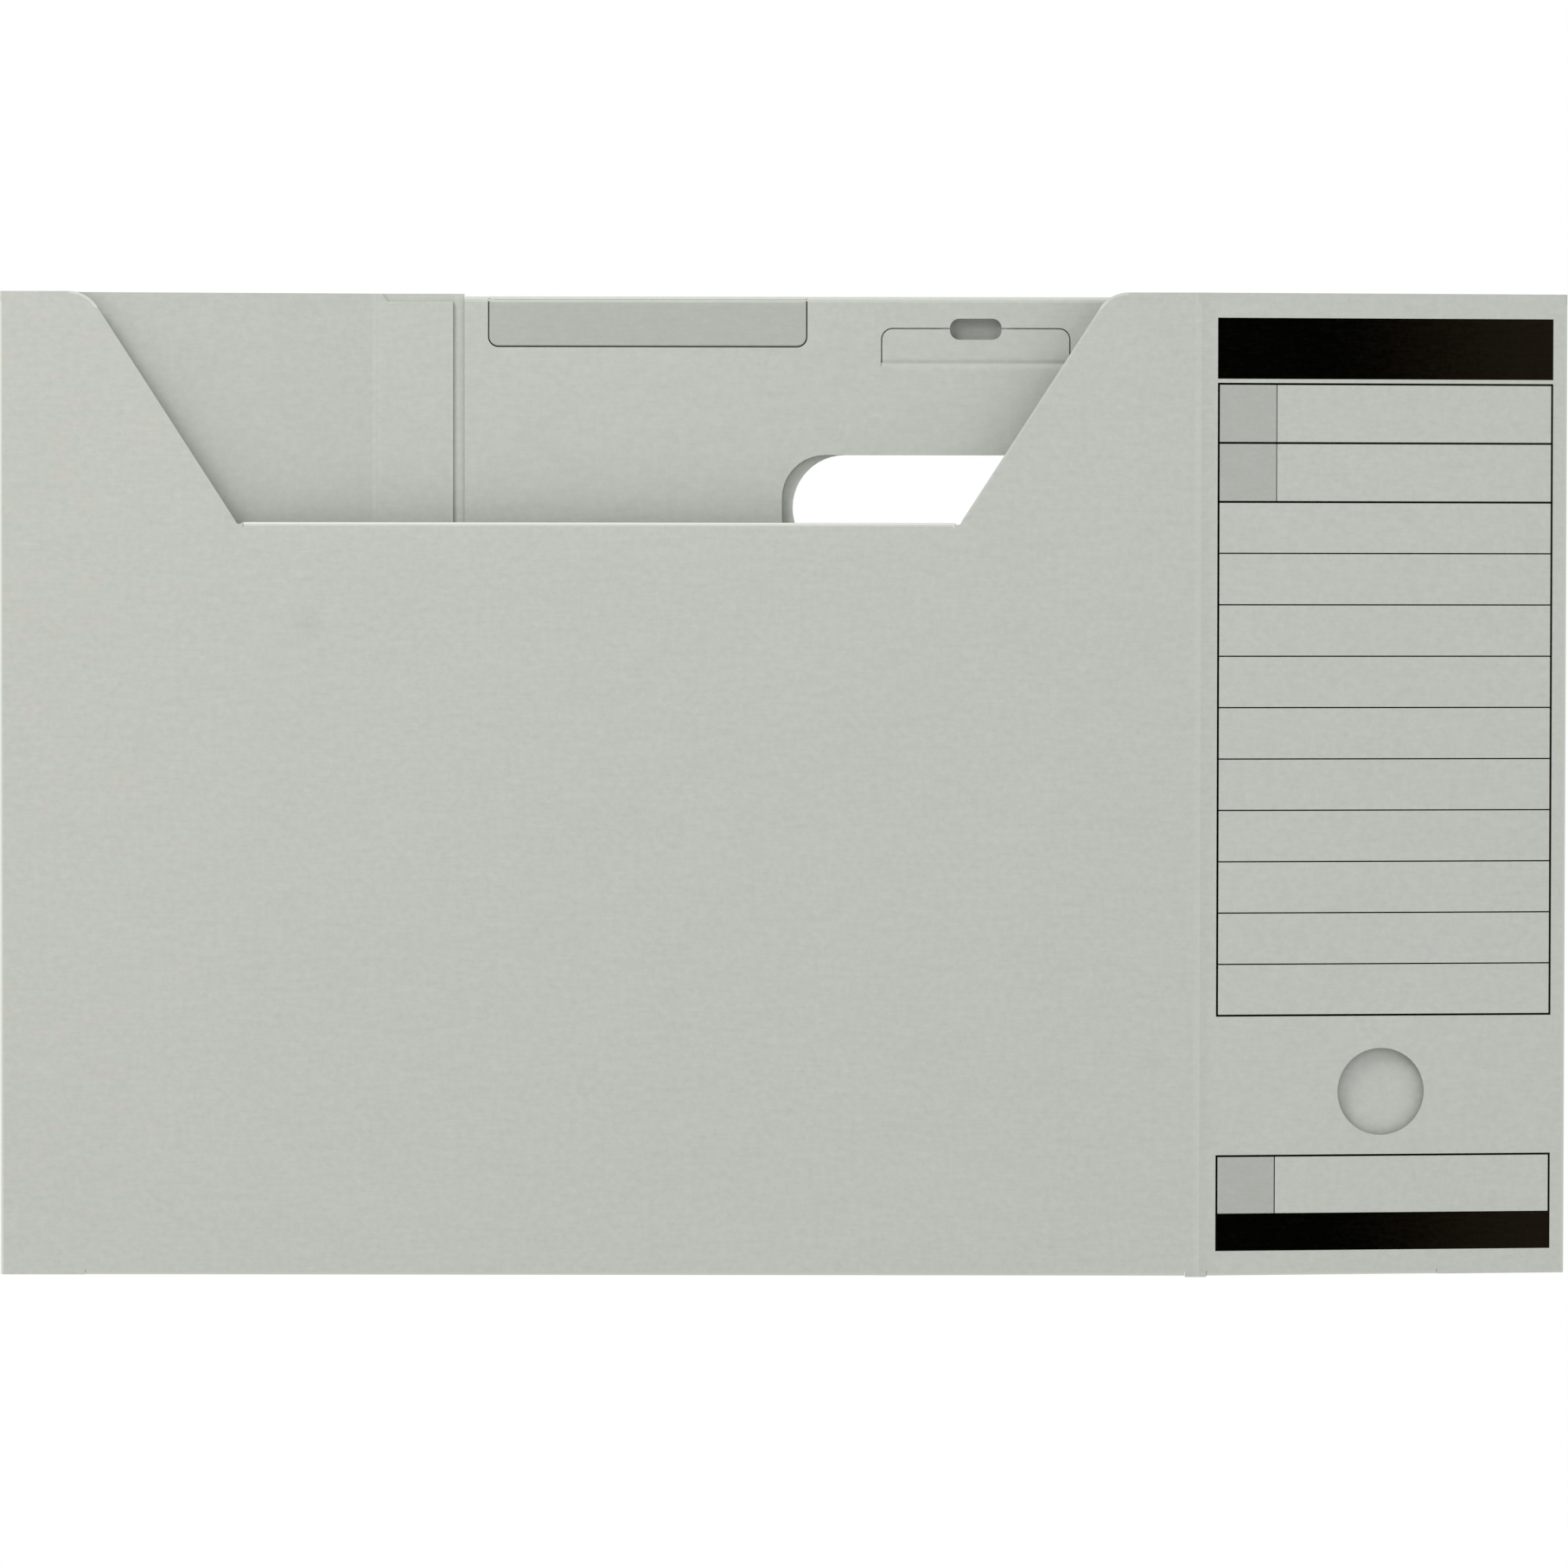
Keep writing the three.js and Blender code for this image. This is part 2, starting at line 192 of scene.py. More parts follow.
class BoardSettings(bpy.types.PropertyGroup):
    """Colour and surface of the grey board."""

    colour: bpy.props.FloatVectorProperty(
        name="Board", description="Colour of the uncoated grey board", subtype="COLOR", size=3,
        min=0, max=1, default=(0.508, 0.529, 0.485))
    edge_colour: bpy.props.FloatVectorProperty(
        name="Cut edge", description="Colour of the raw cut edge of the board", subtype="COLOR", size=3,
        min=0, max=1, default=(0.45, 0.465, 0.43))
    mottle: bpy.props.FloatProperty(
        name="Mottle", description="How much the board's tone varies from place to place", default=0.1,
        min=0, max=0.5, subtype="FACTOR")
    tinge: bpy.props.FloatProperty(
        name="Tinge", description="How much the board turns warmer or cooler from place to place",
        default=0.012, min=0, max=0.2, subtype="FACTOR")
    # Painted highlight on the folds' round faces, together with the paler stretched board there
    stretch: bpy.props.FloatProperty(
        name="Stretch", description="How much paler the board is where a fold stretches it",
        default=0.34, min=0, max=1, subtype="FACTOR")
    # Painted highlights along the cut and folded edges, and painted light in the lap's channel
    edge_light: bpy.props.FloatProperty(
        name="Highlit edge", description="How much paler the board is beside a die-cut edge",
        default=0.05, min=0, max=1, subtype="FACTOR")
    # Painted shade behind the tab's hole and round the finger hole
    hole_shade: bpy.props.FloatProperty(
        name="Dusk", description="How much darker the board is behind the tab's hole and the finger hole",
        default=0.38, min=0, max=1, subtype="FACTOR")
    # Painted light in the tab's slit
    glow: bpy.props.FloatProperty(
        name="Slit glow", description="How much paler the board is inside the tab's slit", default=0.8,
        min=0, max=0.9, subtype="FACTOR")
    roughness: bpy.props.FloatProperty(
        name="Roughness", description="Roughness of the board", default=0.82,
        min=0, max=1, subtype="FACTOR")
    fibre: bpy.props.FloatProperty(
        name="Fibre relief", description="Height of the fibres on the surface", default=0.00002,
        min=0, max=0.001, precision=6, unit="LENGTH")
    roll: bpy.props.FloatProperty(
        name="Rim roll", description="How far the front bows down beside the hem's fold", default=0.0004,
        min=0, max=0.005, precision=5, unit="LENGTH")
    groove: bpy.props.FloatProperty(
        name="Tab crease", description="Depth of the crease that the tab bends on", default=0.0003,
        min=0, max=0.005, precision=5, unit="LENGTH")


class PrintSettings(bpy.types.PropertyGroup):
    """Colours and line widths of the print."""

    black: bpy.props.FloatVectorProperty(
        name="Black", description="Colour of the black ink", subtype="COLOR", size=3,
        min=0, max=1, default=(0.0007, 0.0008, 0.0002))
    # Black ink that is paler towards the right fold
    right_colour: bpy.props.FloatVectorProperty(
        name="Right black", description="Colour of the black ink towards the right fold", subtype="COLOR",
        size=3, min=0, max=1, default=(0.0115, 0.0085, 0.0052))
    tint: bpy.props.FloatVectorProperty(
        name="Tint", description="Colour of the pale grey tint", subtype="COLOR", size=3,
        min=0, max=1, default=(0.435, 0.452, 0.415))
    bold: bpy.props.FloatProperty(
        name="Bold line", description="Width of the frame lines", default=0.00055,
        min=0, unit="LENGTH")
    fine: bpy.props.FloatProperty(
        name="Fine line", description="Width of the writing lines", default=0.00034,
        min=0, unit="LENGTH")
    ink: bpy.props.FloatProperty(
        name="Ink", description="Thickness of the ink film", default=0.000015,
        min=0, unit="LENGTH")


class StageSettings(bpy.types.PropertyGroup):
    """Floor, light and camera."""

    floor: bpy.props.FloatVectorProperty(
        name="Floor", description="Colour of the floor", subtype="COLOR", size=3,
        min=0, max=1, default=(0.86, 0.86, 0.86))
    distance: bpy.props.FloatProperty(
        name="Camera distance", description="From the camera to the box", default=2.0,
        min=0.2, unit="LENGTH")
    tilt: bpy.props.FloatProperty(
        name="Camera tilt", description="How far the camera leans towards the top edge", default=0.03,
        min=-1, max=1, subtype="ANGLE", unit="ROTATION")
    roll: bpy.props.FloatProperty(
        name="Camera roll", description="How far the camera turns about its own line of sight",
        default=0.0014, min=-1, max=1, subtype="ANGLE", unit="ROTATION")
    sky: bpy.props.FloatProperty(
        name="Sky", description="Strength of the even light from all round", default=0.802, min=0)
    key: bpy.props.FloatProperty(
        name="Key", description="Power of the large lamp beyond the top left corner, in watts",
        default=11.9, min=0)


# Shader maths and nodes

class Value:
    """A number socket whose operators add Math nodes."""

    def __init__(self, graph, socket):
        self.graph = graph
        self.socket = socket

    def _math(self, operation, *terms):
        inputs = dict(enumerate(terms))
        return self.graph.node("ShaderNodeMath", {"operation": operation}, inputs).value()

    def __add__(self, other):
        return self._math("ADD", self, other)

    def __sub__(self, other):
        return self._math("SUBTRACT", self, other)

    def __rsub__(self, other):
        return self._math("SUBTRACT", other, self)

    def __mul__(self, other):
        return self._math("MULTIPLY", self, other)

    __radd__ = __add__
    __rmul__ = __mul__

    def absolute(self):
        return self._math("ABSOLUTE", self)

    def clamped(self):
        return self.graph.node("ShaderNodeClamp", {}, {0: self}).value()

    def exponent(self):
        """e to the power of the number."""
        return self._math("EXPONENT", self)

    def smooth(self, low, high):
        """0 below low, 1 above high, eased between them."""
        settings = {"interpolation_type": "SMOOTHSTEP"}
        return self.graph.node("ShaderNodeMapRange", settings, {0: self, 1: low, 2: high}).value()


class Node:
    """A node with short ways to its outputs."""

    def __init__(self, graph, node):
        self.graph = graph
        self.node = node

    def out(self, name=0):
        return self.node.outputs[name]

    def value(self, name=0):
        return Value(self.graph, self.node.outputs[name])


class Graph:
    """The node tree of a new material."""

    def __init__(self, name):
        self.material = bpy.data.materials.new(name)
        self.material.use_nodes = True
        self.tree = self.material.node_tree
        self.tree.nodes.clear()

    def node(self, kind, settings, inputs):
        """A node of one kind, with its settings first and then its inputs, by name or by number."""
        node = self.tree.nodes.new(kind)
        for key, setting in settings.items():
            setattr(node, key, setting)
        for key, source in inputs.items():
            source = source.socket if isinstance(source, Value) else source
            if isinstance(source, bpy.types.NodeSocket):
                self.tree.links.new(source, node.inputs[key])
            else:
                node.inputs[key].default_value = source
        return Node(self, node)

    def mix(self, factor, first, second):
        """A colour between two colours."""
        inputs = {"Factor": factor, 6: first, 7: second}
        return self.node("ShaderNodeMix", {"data_type": "RGBA"}, inputs).out(2)

    def noise(self, place, scale, detail=3.0, rough=0.5):
        """Noise about 0, from -0.5 to 0.5, over a place."""
        inputs = {"Vector": place, "Scale": scale, "Detail": detail, "Roughness": rough}
        return self.node("ShaderNodeTexNoise", {}, inputs).value("Fac") - 0.5

    def finish(self, shader):
        """The material, with the shader as its surface."""
        self.node("ShaderNodeOutputMaterial", {}, {"Surface": shader.out()})
        return self.material


def colour4(colour, gain=1.0):
    """A colour times a gain, with full cover."""
    return tuple(min(1.0, part * gain) for part in colour) + (1.0,)


def rise(value, low, high):
    """0 below low, 1 above high, eased between them, in millimetres."""
    return value.smooth(low * MM, high * MM)


def band(value, middle, half, soft):
    """1 within half of the middle, easing to 0 over the soft width beyond, in millimetres."""
    return 1.0 - rise((value - middle * MM).absolute(), half, half + soft)


def strip(value, edge, marks):
    """A strip of painted light beside an edge, whose marks are distance, half width, soft width,
    strength.
    """
    distance, half, soft, strength = marks
    return band(value, edge + distance, half, soft) * strength


def tilted(upward, limits):
    """A finish on faces that look up less than the low limit, none above the high limit."""
    low, high, strength = limits
    return (1.0 - upward.smooth(low, high)) * strength


def fibre_noise(graph, place, grain_cells, grain_detail, grain_rough):
    """The board's long fibres along X and its fine grain, each noise about 0."""
    along = graph.node("ShaderNodeMapping", {}, {"Vector": place, "Scale": FIBRE_CELLS}).out()
    streak = graph.noise(along, 1.0, 3.0, 0.65)
    return streak, graph.noise(place, grain_cells, grain_detail, grain_rough)


def board_material(settings):
    """Grey board: cloudy mottling, fibres that run along X, warmer and cooler tinges, faint rub marks and
    a darker cut edge, with painted light and shade: a paler spine, highlights on the folds and edges,
    light in the tab's slit and the lap's channel, and shade by the two small holes, all under
    board_relief's relief."""
    graph = Graph("grey_board")
    place = graph.node("ShaderNodeTexCoord", {}, {}).out("Object")
    parts = graph.node("ShaderNodeSeparateXYZ", {}, {0: place})
    x, y, z = (parts.value(index) for index in range(3))
    streak, grain = fibre_noise(graph, place, GRAIN_CELLS, 3.0, 0.65)
    wide = graph.node("ShaderNodeMapping", {}, {"Vector": place, "Scale": BLOT_CELLS}).out()
    cloud = graph.noise(place, CLOUD_CELLS, 4.0, 0.62)
    blot = graph.noise(wide, 1.0, 4.0, 0.6)
    spine = rise(x, SPINE_CREASE + 1, SPINE_CREASE + 6)
    mottling = cloud * CLOUD_SHARE + blot * BLOT_SHARE + streak * STREAK_SHARE + grain * GRAIN_SHARE
    # Painted light makes the spine paler, to make up for the key lamp on the left
    tone = mottling + spine * SPINE_PAINTED_LIGHT + rub_marks(graph, x, y)
    # Painted light that keeps the slit round the tab pale
    slit = tab_slit_light(x, y, z)
    # The board's own mottling and rub marks, then painted highlights along the edges and painted light in
    # the tab's slit
    bright = tone * settings.mottle + painted_edge_light(x, y, z) * settings.edge_light + slit * settings.glow
    # Painted shade behind the tab's hole and round the finger hole
    dark = (tab_painted_shade(x, y, z) + finger_painted_shade(x, y, z) * FINGER_SHARE) * settings.hole_shade
    gain = (bright + 1.0) * (1.0 - dark)
    channels = board_tinge(graph, settings, place, wide, x, gain)
    upward = up_share(graph)
    # Painted highlight, together with the paler stretched board, on the folds' leaning and upright faces;
    # the lid's fold keeps less of it
    bent = tilted(upward, LEANING) + tilted(upward, UPRIGHT)
    fold_highlight = bent * (1.0 - rise(y, FOLD_START - 1, FOLD_START) * LID_FOLD_LOSS)
    paler = graph.mix(fold_highlight, channels, colour4(settings.colour, 1.0 + settings.stretch))
    cut = tilted(upward, CUT_FACE) * (1.0 - slit)
    colour = graph.mix(cut, paler, colour4(settings.edge_colour))
    fibres = graph.node("ShaderNodeBump", {}, {
        "Strength": 0.6, "Distance": settings.fibre, "Height": (streak * 0.8 + grain * 0.6).socket})
    relief = graph.node("ShaderNodeBump", {}, {
        "Strength": 1.0, "Distance": 1.0, "Normal": fibres.out(),
        "Height": board_relief(graph, settings, place, x, y, z).socket})
    shader = graph.node("ShaderNodeBsdfPrincipled", {}, {
        "Base Color": colour, "Roughness": streak * 0.12 + settings.roughness,
        "Specular IOR Level": 0.2, "Normal": relief.out()})
    return graph.finish(shader)


def board_tinge(graph, settings, place, wide, x, gain):
    """The board's colour at a gain: warmer and cooler tinges all over, and pink flecks that thin
    out from the left fold to the middle of the left side."""
    apart = graph.node("ShaderNodeMapping", {}, {"Vector": place, "Location": TINGE_OFFSET}).out()
    tinge = graph.noise(apart, BLEND_CELLS, 3.0, 0.6) * settings.tinge * 4.0
    flecks = graph.noise(wide, 1.7, 2.0)
    pink = flecks.smooth(*FLECK_NOISE) * (1.0 - rise(x, LEFT_FOLD, LEFT_FOLD + FLECK_REACH))
    red, green, blue = settings.colour
    return graph.node("ShaderNodeCombineColor", {}, {
        0: (gain * red * (tinge + 1.0) * (pink * FLECK_RED + 1.0)).socket,
        1: (gain * green * (pink * FLECK_GREEN + 1.0)).socket,
        2: (gain * blue * (1.0 - tinge)).socket}).out()


def up_share(graph):
    """How far the board's face looks straight up or down: 1 when level and 0 when upright."""
    normal = graph.node("ShaderNodeNewGeometry", {}, {}).out("True Normal")
    return graph.node("ShaderNodeSeparateXYZ", {}, {0: normal}).value(2).absolute()


def on_front(z):
    """1 on the front panel and 0 below it."""
    return rise(z, FRONT_UNDER, FRONT_UNDER + BOARD)


def on_back(z):
    """1 on the back panel and 0 above it."""
    return 1.0 - rise(z, 1.05 * BOARD, 1.3 * BOARD)


def painted_edge_light(x, y, z):
    """Painted highlights beside the cut-away's sloping edges and shoulders, which are the palest and much
    stronger on the right slope, which faces the key lamp, beside the glue lap's edges and along the
    lap's fold; and painted light that lifts the shade in the channel beside the lap."""
    aside = (x - FRONT_MIDDLE * MM).absolute()
    lean = (y - RIM * MM) * CUT_LEAN
    # Painted highlight beside the sloping edges, much stronger on the right slope, which faces the key
    # lamp
    slope = strip(aside - lean, RIM_HALF, SLOPE_STRIP) * rise(y, RIM, RIM + 1)
    right_gain = rise(x, FRONT_MIDDLE - 1, FRONT_MIDDLE + 1) * SLOPE_RIGHT_GAIN + 1.0
    cut_away = (slope * right_gain + shoulder_highlight(aside, y) * SHOULDER_STRENGTH) * on_front(z)
    right = strip(x, LAP_EDGE, LAP_STRIP) * (1.0 - rise(y, LAP_TOP - 0.3, LAP_TOP))
    high = strip(y, LAP_TOP, LAP_STRIP) * rise(x, LAP_EDGE - 20, LAP_EDGE - 17)
    on_lap = rise(z, 1.5 * BOARD, 2 * BOARD) * (1.0 - rise(z, 1.7, 1.9))
    lap = (right + high) * on_lap * (1.0 - rise(x, LAP_EDGE, LAP_EDGE + 0.2))
    fold = strip(x, LAP_FOLD, FOLD_LINE) + strip(x, LAP_FOLD, FOLD_SIDE)
    on_fold = rise(z, 1.5 * BOARD, 1.8 * BOARD) * (1.0 - rise(z, 3 * BOARD, 4 * BOARD))
    # Painted light that lifts the shade in the narrow channel beside the lap
    channel = strip(x, LAP_EDGE, CHANNEL_LIGHT) * on_back(z)
    return cut_away + lap + fold * on_fold + channel


def shoulder_highlight(aside, y):
    """Painted highlight: 1 along the round shoulders at the top of the cut-away, whose radius ends where
    the side's lean begins: aside is the distance from the middle of the front."""
    stretch = np.hypot(1, CUT_LEAN)
    centre_y = TOP - SHOULDER
    centre_x = RIM_HALF + (centre_y - RIM) * CUT_LEAN + SHOULDER * stretch
    across, up = aside - centre_x * MM, y - centre_y * MM
    inner, outer = (((SHOULDER - depth) * MM) ** 2 for depth in SHOULDER_DEPTHS)
    arc_end = SHOULDER * CUT_LEAN / stretch
    above = rise(up, arc_end - 0.6, arc_end) * (1.0 - rise(across, -0.5, 0.5))
    return (across * across + up * up).smooth(inner, outer) * above


def tab_painted_shade(x, y, z):
    """Painted shade: 1 on the back panel behind the tab's hole, where the closed gap would be in shade.
    """
    return band(x, LID_AXIS, *TAB_SHADE) * band(y, TAB_TOP, *TAB_SHADE_HIGH) * on_back(z)


def finger_painted_shade(x, y, z):
    """Painted shade: 1 on the flap under the border of the finger hole, and 0 under its middle: a little
    stronger on the right, where the flap lies farther from the light."""
    across, up = x - (FINGER_X - FINGER_SHIFT) * MM, y - FINGER_Y * MM
    square = across * across + up * up
    inner, outer, end = ((radius * MM) ** 2 for radius in FINGER_SHADE)
    drop = z + (x - SPINE_CREASE * MM) * SPINE_FALL
    under = 1.0 - rise(drop, TOP_FACE - 1.6 * BOARD, TOP_FACE - 1.2 * BOARD)
    return square.smooth(inner, outer) * (1.0 - square.smooth(end, end * 1.1)) * under


def tab_slit_light(x, y, z):
    """Painted light: 1 on the walls and the floor of the slit round the tab, which keeps them pale where
    they would be in shade.
    """
    tab_middle = (TAB_TOP + TAB_CREASE) / 2
    beside = band((x - LID_AXIS * MM).absolute(), TAB_HALF, SLIT_HALF, SLIT_SOFT)
    upright = beside * band(y, tab_middle, TAB_HEIGHT / 2, SLIT_HALF)
    hole = band(x, LID_AXIS, TAB_HOLE_HALF, 0.5)
    along = band(y, TAB_TOP, SLIT_HALF, SLIT_SOFT)
    level = along * band(x, LID_AXIS, TAB_HALF, SLIT_HALF) * (1.0 - hole)
    return (upright + level).clamped() * (1.0 - rise(z, LID_TOP - 0.4, LID_TOP - 0.3))


def board_relief(graph, settings, place, x, y, z):
    """Shape too slight for the CAD model, in metres: below the rim the front bows down towards the
    hem's fold as roll * exp(-distance / BOW_REACH), the tab's crease is a round groove across the
    lid, and the whole board waves a little."""
    front = on_front(z)
    below = (y * -1.0 + RIM * MM) * (1.0 / (BOW_REACH * MM))
    beside = band(x, FRONT_MIDDLE, RIM_HALF - 2, 6)
    bow = (below * -1.0).exponent() * below.smooth(-0.5, 0.0) * beside * front
    lid = rise(z, LID_UNDER, LID_UNDER + 0.3) * (1.0 - front)
    across = (y - (TAB_CREASE - GROOVE_SHIFT) * MM) * (1.0 / (GROOVE_REACH * MM))
    crease = (across * across * -1.0).exponent() * band(x, LID_AXIS, TAB_HALF, 0.6) * lid
    wave = graph.noise(place, WAVE_CELLS, 2.0) * (WAVE_HEIGHT * MM)
    return wave - bow * settings.roll - crease * settings.groove


def rub_marks(graph, x, y):
    """Faint round smudges on the front, each a soft disc: minus its depth at its middle and 0 past
    its radius."""
    marks = 0.0
    for middle_x, middle_y, radius, depth in RUBS:
        inputs = {0: (x - middle_x * MM).socket, 1: (y - middle_y * MM).socket}
        offset = graph.node("ShaderNodeCombineXYZ", {}, inputs).out()
        distance = graph.node("ShaderNodeVectorMath", {"operation": "LENGTH"}, {0: offset}).value("Value")
        marks += (1.0 - rise(distance, radius * 0.3, radius)) * -depth
    return marks


def ink_material(name, colour, right_colour, uneven, roughness, specular):
    """Ink that lies thin on the board: its tone goes from one colour on the spine's left to the right
    colour at the right fold, and the board's fibres break it. Uneven is the share of the right
    colour all over, where the fibres show on both sides of the mean."""
    graph = Graph(name)
    place = graph.node("ShaderNodeTexCoord", {}, {}).out("Object")
    across = graph.node("ShaderNodeSeparateXYZ", {}, {0: place}).value(0)
    streak, grain = fibre_noise(graph, place, INK_GRAIN_CELLS, 2.0, 0.6)
    blot = graph.noise(place, BLEND_CELLS, 3.0, 0.6)
    rightward = rise(across, SPINE_CREASE + 30, RIGHT_FOLD + 4)
    shade = (streak * 0.7 + grain * 0.6 + blot * uneven + rightward + uneven).clamped()
    mixed = graph.mix(shade, colour4(colour), colour4(right_colour))
    relief = (streak * 0.8 + grain * 0.6).socket
    bump = graph.node("ShaderNodeBump", {}, {"Strength": 0.5, "Distance": 0.00001, "Height": relief})
    shader = graph.node("ShaderNodeBsdfPrincipled", {}, {
        "Base Color": mixed, "Roughness": streak * 0.1 + roughness,
        "Specular IOR Level": specular, "Normal": bump.out()})
    return graph.finish(shader)


# Meshes

def new_piece(name, vertices, faces, material, slot, smooth=False):
    """A mesh object at the origin from arrays of places and of corner numbers, all faces alike."""
    mesh = bpy.data.meshes.new(name)
    mesh.from_pydata(vertices.tolist(), [], faces.tolist())
    mesh.materials.append(material)
    mesh.polygons.foreach_set("use_smooth", np.full(len(mesh.polygons), smooth))
    piece = bpy.data.objects.new(name, mesh)
    bpy.context.scene.collection.objects.link(piece)
    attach(piece, "root")
    return piece


class Plane:
    """The flat surface under a print: height above z = 0 as low + slope * (x - start)."""

    def __init__(self, start, end, y):
        tree = node_tree()
        low, high = (surface_height(tree, x, y) for x in (start, end))
        self.start = start
        self.low = low
        self.slope = (high - low) / (end - start)

    def height(self, x):
        return self.low + self.slope * (x - self.start)


def node_tree():
    """The CAD solid as a tree that rays can be cast on."""
    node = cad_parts["file_box"]
    vertices = [tuple(vertex.co) for vertex in node.data.vertices]
    faces = [tuple(polygon.vertices) for polygon in node.data.polygons]
    return BVHTree.FromPolygons(vertices, faces)


def surface_height(tree, x, y):
    """Height of the topmost surface over a place, in millimetres."""
    above = Vector((x * MM, y * MM, 0.1))
    hit = tree.ray_cast(above, Vector((0, 0, -1)))[0]
    if hit is None:
        raise RuntimeError(f"no board under x {x}, y {y}")
    return hit.z / MM


# Faces of a box whose corners are numbered round the bottom and then round the top
BOX_FACES = np.array([
    [0, 3, 2, 1], [4, 5, 6, 7], [0, 1, 5, 4], [1, 2, 6, 5], [2, 3, 7, 6], [3, 0, 4, 7]])


def ink_bars(rectangles, plane, lift, ink):
    """Bars of ink: each row of rectangles is left, right, low, high in millimetres, and its film
    reaches from lift to lift + ink above the plane."""
    rectangles = np.asarray(rectangles, dtype=float)
    x = rectangles[:, [0, 1, 1, 0]]
    y = rectangles[:, [2, 2, 3, 3]]
    base = plane.height(x)
    low = np.stack([x, y, base + lift], axis=-1)
    high = np.stack([x, y, base + lift + ink], axis=-1)
    vertices = np.concatenate([low, high], axis=1).reshape(-1, 3) * MM
    faces = (np.arange(len(rectangles))[:, None, None] * 8 + BOX_FACES).reshape(-1, 4)
    return vertices, faces


# Operators

class FILEBOX_OT_board(bpy.types.Operator):
    """Give the folded sheet its board finish."""

    bl_idname = "filebox.board"
    bl_label = "Board"

    def execute(self, context):
        material = board_material(context.scene.file_box_board)
        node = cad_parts["file_box"]
        node.data.materials.clear()
        node.data.materials.append(material)
        return {"FINISHED"}


class FILEBOX_OT_label(bpy.types.Operator):
    """Print the label on the spine: two black bands, a ruled table with grey cells, and a ruled box."""

    bl_idname = "filebox.label"
    bl_label = "Spine label"

    def execute(self, context):
        settings = context.scene.file_box_print
        ink = settings.ink / MM
        bold, fine = settings.bold / MM, settings.fine / MM
        left, right = SPINE_CREASE + 5.55, RIGHT_FOLD - 4.15
        cell = SPINE_CREASE + 21.2
        header = (TOP - 6.67, TOP - 23.0)
        table_top = TOP - 24.34
        tall, low_row, rows = 15.8, 13.78, 10
        lines = [table_top, table_top - tall, table_top - 2 * tall]
        ruled = lines[-1] - low_row * np.arange(1, rows)
        table_bottom = lines[-1] - low_row * rows
        box_top, box_bottom, foot = BOTTOM + 32.48, BOTTOM + 17.03, BOTTOM + 6.95
        plane = Plane(SPINE_CREASE + 10, RIGHT_FOLD - 10, BOTTOM + 80)

        def row(y, width):
            return [left, right, y - width / 2, y + width / 2]

        def column(x, high, low, width):
            return [x - width / 2, x + width / 2, low, high]

        tints = [[left, cell, lines[1], lines[0]], [left, cell, lines[2], lines[1]],
                 [left, cell, box_bottom, box_top]]
        bars = [[left - bold / 2, right + bold / 2, header[1], header[0]],
                [left - bold / 2, right + bold / 2, foot, box_bottom]]
        bars += [row(y, bold) for y in (*lines, table_bottom, box_top)]
        bars += [column(x, table_top + bold / 2, table_bottom - bold / 2, bold) for x in (left, right)]
        bars += [column(x, box_top + bold / 2, box_bottom, bold) for x in (left, right)]
        bars.append(column(cell, table_top, lines[2], fine * 0.6))
        bars.append(column(cell, box_top, box_bottom, fine * 0.8))
        bars += [row(y, fine) for y in ruled]
        tone = settings.tint
        pale, deep = ([part * gain for part in tone] for gain in (1.09, 0.91))
        black = ink_material("black_ink", settings.black, settings.right_colour, 0.0, 0.7, 0.005)
        tint = ink_material("grey_tint", pale, deep, 0.5, 0.8, 0.2)
        new_piece("label_tint", *ink_bars(tints, plane, ink / 4, ink / 2), tint, "print_grey")
        new_piece("label_lines", *ink_bars(bars, plane, ink / 2, ink), black, "print_black")
        return {"FINISHED"}


class FILEBOX_OT_lid_field(bpy.types.Operator):
    """Print the writing field on the lid: a grey field with a dark outline that runs over the fold."""

    bl_idname = "filebox.lid_field"
    bl_label = "Lid field"

    def execute(self, context):
        settings = context.scene.file_box_print
        ink = settings.ink / MM
        tint = bpy.data.materials["grey_tint"]
        black = bpy.data.materials["black_ink"]
        left, right, low, corner = -80.0, 5.9, 117.5, 2.8
        width = settings.fine / MM
        outer = field_patch(left, right, low, corner)
        inner = field_patch(left + width, right - width, low + width, corner - width)
        new_piece("lid_field_line", *field_shell(outer, ink / 4, ink / 2), black, "print_black", True)
        new_piece("lid_field", *field_shell(inner, ink, ink / 2), tint, "print_grey", True)
        return {"FINISHED"}


def field_patch(left, right, low, corner, columns=72, rows=24):
    """A grid of places (x, s) over the field: s is the distance down the sheet from the lid's fold.
    The lower edge rises over the corner radius like a quarter circle at both ends."""
    start = -FOLD_RADIUS * np.pi / 2
    end = LID_FOLD - FOLD_RADIUS - low
    turn = np.linspace(0, np.pi / 2, 10)
    ends = corner * (1 - np.cos(turn))
    x = np.concatenate([left + ends, np.linspace(left + corner, right - corner, columns)[1:-1],
                        (right - ends)[::-1]])
    inset = np.maximum(0, corner - np.minimum(x - left, right - x))
    reach = end - (corner - np.sqrt(np.maximum(0, corner ** 2 - inset ** 2)))
    share = np.linspace(0, 1, rows) ** 0.7
    s = start + share[:, None] * (reach - start)[None, :]
    return np.broadcast_to(x, s.shape), s


